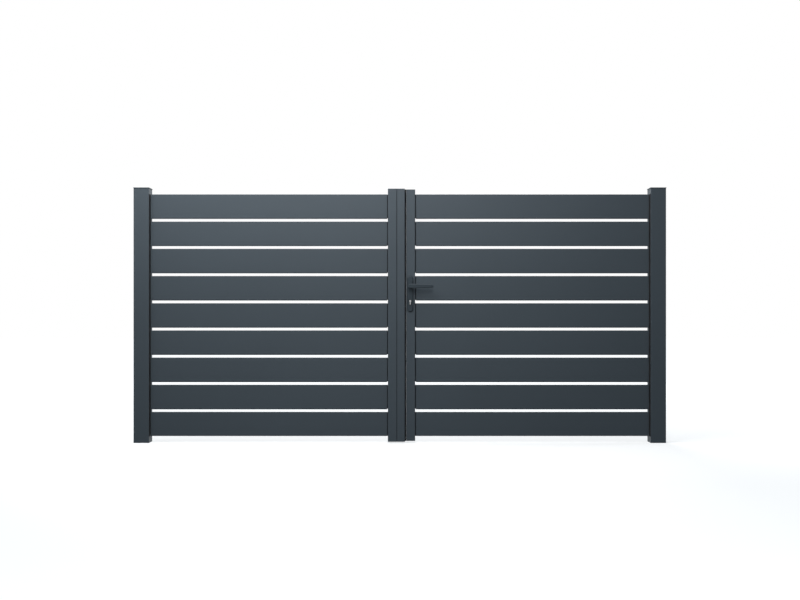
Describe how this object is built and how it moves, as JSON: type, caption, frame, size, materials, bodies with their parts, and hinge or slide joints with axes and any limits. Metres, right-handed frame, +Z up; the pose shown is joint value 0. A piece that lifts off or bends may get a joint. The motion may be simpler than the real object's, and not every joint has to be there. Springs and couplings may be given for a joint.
{
  "type": "double-leaf swing gate",
  "caption": "Double-leaf swing gate with wide horizontal slats between square capped posts, a proud strike stile where the leaves meet, and a lever handle with a profile cylinder lock.",
  "frame": {"origin": "centre of the left post's foot, on the ground", "axes": "+X along the gate from the left post to the right post, +Y to the back, the way the leaves open, +Z up"},
  "size_m": [3.319, 0.17, 1.59],
  "materials": {
    "frame_coat": "fine-textured anthracite powder coat on hollow aluminium sections",
    "slat_coat": "fine-textured anthracite powder coat on hollow aluminium slats",
    "cap_coat": "anthracite powder coat, same as the frame",
    "hinge_coat": "anthracite powder coat on steel hinge parts",
    "handle_coat": "satin anthracite coat on cast handle parts",
    "lock_steel": "brushed stainless steel",
    "cylinder_nickel": "satin nickel plate"
  },
  "bodies": {
    "posts": {"left_post": "frame_coat", "right_post": "frame_coat", "post_caps": "cap_coat", "left_hinge_brackets": "hinge_coat", "right_hinge_brackets": "hinge_coat"},
    "left_leaf": {"left_slat_1": "slat_coat", "left_slat_2": "slat_coat", "left_slat_3": "slat_coat", "left_slat_4": "slat_coat", "left_slat_5": "slat_coat", "left_slat_6": "slat_coat", "left_slat_7": "slat_coat", "left_slat_8": "slat_coat", "left_slat_9": "slat_coat", "left_hinge_bar": "frame_coat", "left_hinge_eyes": "hinge_coat", "left_meeting_stile": "frame_coat", "left_stile_caps": "cap_coat", "strike_stile": "frame_coat", "strike_stile_caps": "cap_coat", "strike_plate": "lock_steel"},
    "right_leaf": {"right_slat_1": "slat_coat", "right_slat_2": "slat_coat", "right_slat_3": "slat_coat", "right_slat_4": "slat_coat", "right_slat_5": "slat_coat", "right_slat_6": "slat_coat", "right_slat_7": "slat_coat", "right_slat_8": "slat_coat", "right_slat_9": "slat_coat", "right_hinge_bar": "frame_coat", "right_hinge_eyes": "hinge_coat", "right_meeting_stile": "frame_coat", "right_stile_caps": "cap_coat", "lock_faceplate": "lock_steel", "mortise_lock": "lock_steel", "lock_cylinder": "cylinder_nickel", "front_handle_plate": "handle_coat", "back_handle_plate": "handle_coat"},
    "lever": {"front_lever": "handle_coat", "back_lever": "handle_coat", "spindle": "lock_steel"}
  },
  "joints": [
    {"name": "left_leaf_swing", "type": "hinge", "parent": "posts", "child": "left_leaf", "pos_m": [0.0505, 0.064, 0], "axis": [0, 0, 1], "range_deg": [0, 100]},
    {"name": "right_leaf_swing", "type": "hinge", "parent": "posts", "child": "right_leaf", "pos_m": [3.1675, 0.064, 0], "axis": [0, 0, -1], "range_deg": [0, 100]},
    {"name": "lever_turn", "type": "hinge", "parent": "right_leaf", "child": "lever", "pos_m": [1.674, -0.0075, 0.975], "axis": [0, 1, 0], "range_deg": [0, 40], "stiffness_Nm_per_rad": 2, "springref_deg": -14.32}
  ]
}
